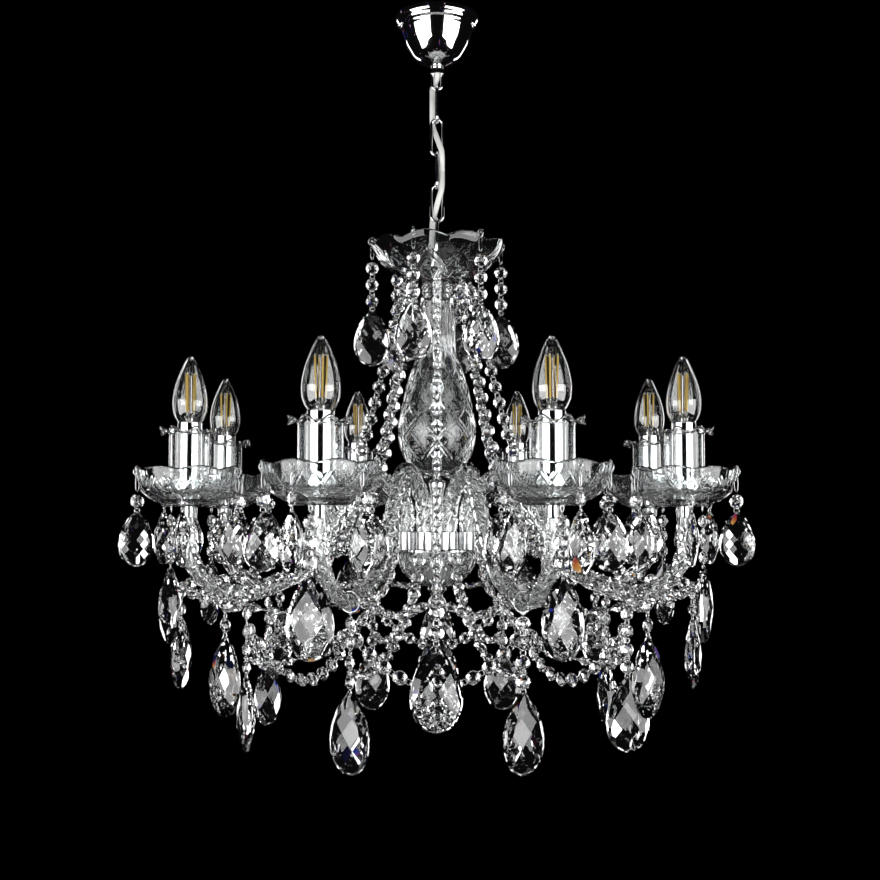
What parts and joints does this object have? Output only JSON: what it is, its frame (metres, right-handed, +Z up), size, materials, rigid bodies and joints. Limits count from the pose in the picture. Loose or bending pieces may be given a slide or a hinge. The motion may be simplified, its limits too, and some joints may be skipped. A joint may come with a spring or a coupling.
{
  "type": "chandelier",
  "caption": "Crystal chandelier on a short chain: twisted glass arms carry candle lamps over cut drip dishes, with bead garlands and almond drops round a cut glass column.",
  "frame": {"origin": "middle of the face that meets the ceiling, on the column's axis", "axes": "+Z up towards the ceiling; -Y is the side in the picture; the arms stand between the X and Y axes and every eighth of a turn"},
  "size_m": [0.6322, 0.6322, 0.7941],
  "materials": {
    "chrome": "polished",
    "steel": "zinc plated, satin",
    "crystal": "cut and polished",
    "clear_glass": "fire polished",
    "bulb_glass": "clear, thin",
    "cable_sheath": "smooth",
    "terminal_plastic": "satin"
  },
  "bodies": {
    "ceiling": {"ceiling_bracket": "steel", "terminal_block": "terminal_plastic", "canopy_shell": "chrome", "canopy_loop": "chrome", "supply_cable": "cable_sheath"},
    "link_1": {"chain_link_1": "chrome"},
    "link_2": {"chain_link_2": "chrome"},
    "link_3": {"chain_link_3": "chrome"},
    "link_4": {"chain_link_4": "chrome"},
    "link_5": {"chain_link_5": "chrome"},
    "chandelier": {"column_rod": "chrome", "top_bowl": "crystal", "crown_garlands": "crystal", "baluster": "clear_glass", "arm_hub": "chrome", "hub_dish": "clear_glass", "finial": "chrome", "arm_1": "clear_glass", "arm_2": "clear_glass", "arm_3": "clear_glass", "arm_4": "clear_glass", "arm_5": "clear_glass", "arm_6": "clear_glass", "arm_7": "clear_glass", "arm_8": "clear_glass", "bobeche_1": "crystal", "bobeche_2": "crystal", "bobeche_3": "crystal", "bobeche_4": "crystal", "bobeche_5": "crystal", "bobeche_6": "crystal", "bobeche_7": "crystal", "bobeche_8": "crystal", "candle_cup_1": "clear_glass", "candle_cup_2": "clear_glass", "candle_cup_3": "clear_glass", "candle_cup_4": "clear_glass", "candle_cup_5": "clear_glass", "candle_cup_6": "clear_glass", "candle_cup_7": "clear_glass", "candle_cup_8": "clear_glass", "candle_tube_1": "chrome", "candle_tube_2": "chrome", "candle_tube_3": "chrome", "candle_tube_4": "chrome", "candle_tube_5": "chrome", "candle_tube_6": "chrome", "candle_tube_7": "chrome", "candle_tube_8": "chrome", "arm_swags": "crystal"},
    "bulb_1": {"bulb_1": "bulb_glass"},
    "bulb_2": {"bulb_2": "bulb_glass"},
    "bulb_3": {"bulb_3": "bulb_glass"},
    "bulb_4": {"bulb_4": "bulb_glass"},
    "bulb_5": {"bulb_5": "bulb_glass"},
    "bulb_6": {"bulb_6": "bulb_glass"},
    "bulb_7": {"bulb_7": "bulb_glass"},
    "bulb_8": {"bulb_8": "bulb_glass"},
    "centre_drop": {"centre_drop": "crystal"}
  },
  "joints": [
    {"name": "link_1_swing", "type": "hinge", "parent": "ceiling", "child": "link_1", "pos_m": [0, 0, -0.0818], "axis": [1, 0, 0], "range_deg": [-15, 15], "deforming": ["supply_cable"]},
    {"name": "link_2_swing", "type": "hinge", "parent": "link_1", "child": "link_2", "pos_m": [0, 0, -0.119], "axis": [0, 1, 0], "range_deg": [-15, 15], "deforming": ["supply_cable"]},
    {"name": "link_3_swing", "type": "hinge", "parent": "link_2", "child": "link_3", "pos_m": [0, 0, -0.1562], "axis": [1, 0, 0], "range_deg": [-15, 15], "deforming": ["supply_cable"]},
    {"name": "link_4_swing", "type": "hinge", "parent": "link_3", "child": "link_4", "pos_m": [0, 0, -0.1934], "axis": [0, 1, 0], "range_deg": [-15, 15], "deforming": ["supply_cable"]},
    {"name": "link_5_swing", "type": "hinge", "parent": "link_4", "child": "link_5", "pos_m": [0, 0, -0.2306], "axis": [1, 0, 0], "range_deg": [-15, 15], "deforming": ["supply_cable"]},
    {"name": "chandelier_swing", "type": "hinge", "parent": "link_5", "child": "chandelier", "pos_m": [0, 0, -0.2678], "axis": [0, 1, 0], "range_deg": [-15, 15], "deforming": ["supply_cable"]},
    {"name": "bulb_1_out", "type": "slide", "parent": "chandelier", "child": "bulb_1", "axis": [0, 0, 1], "range_m": [0, 0.03]},
    {"name": "bulb_2_out", "type": "slide", "parent": "chandelier", "child": "bulb_2", "axis": [0, 0, 1], "range_m": [0, 0.03]},
    {"name": "bulb_3_out", "type": "slide", "parent": "chandelier", "child": "bulb_3", "axis": [0, 0, 1], "range_m": [0, 0.03]},
    {"name": "bulb_4_out", "type": "slide", "parent": "chandelier", "child": "bulb_4", "axis": [0, 0, 1], "range_m": [0, 0.03]},
    {"name": "bulb_5_out", "type": "slide", "parent": "chandelier", "child": "bulb_5", "axis": [0, 0, 1], "range_m": [0, 0.03]},
    {"name": "bulb_6_out", "type": "slide", "parent": "chandelier", "child": "bulb_6", "axis": [0, 0, 1], "range_m": [0, 0.03]},
    {"name": "bulb_7_out", "type": "slide", "parent": "chandelier", "child": "bulb_7", "axis": [0, 0, 1], "range_m": [0, 0.03]},
    {"name": "bulb_8_out", "type": "slide", "parent": "chandelier", "child": "bulb_8", "axis": [0, 0, 1], "range_m": [0, 0.03]},
    {"name": "centre_drop_swing", "type": "hinge", "parent": "chandelier", "child": "centre_drop", "pos_m": [0, 0, -0.676], "axis": [1, 0, 0], "range_deg": [-25, 25]}
  ]
}
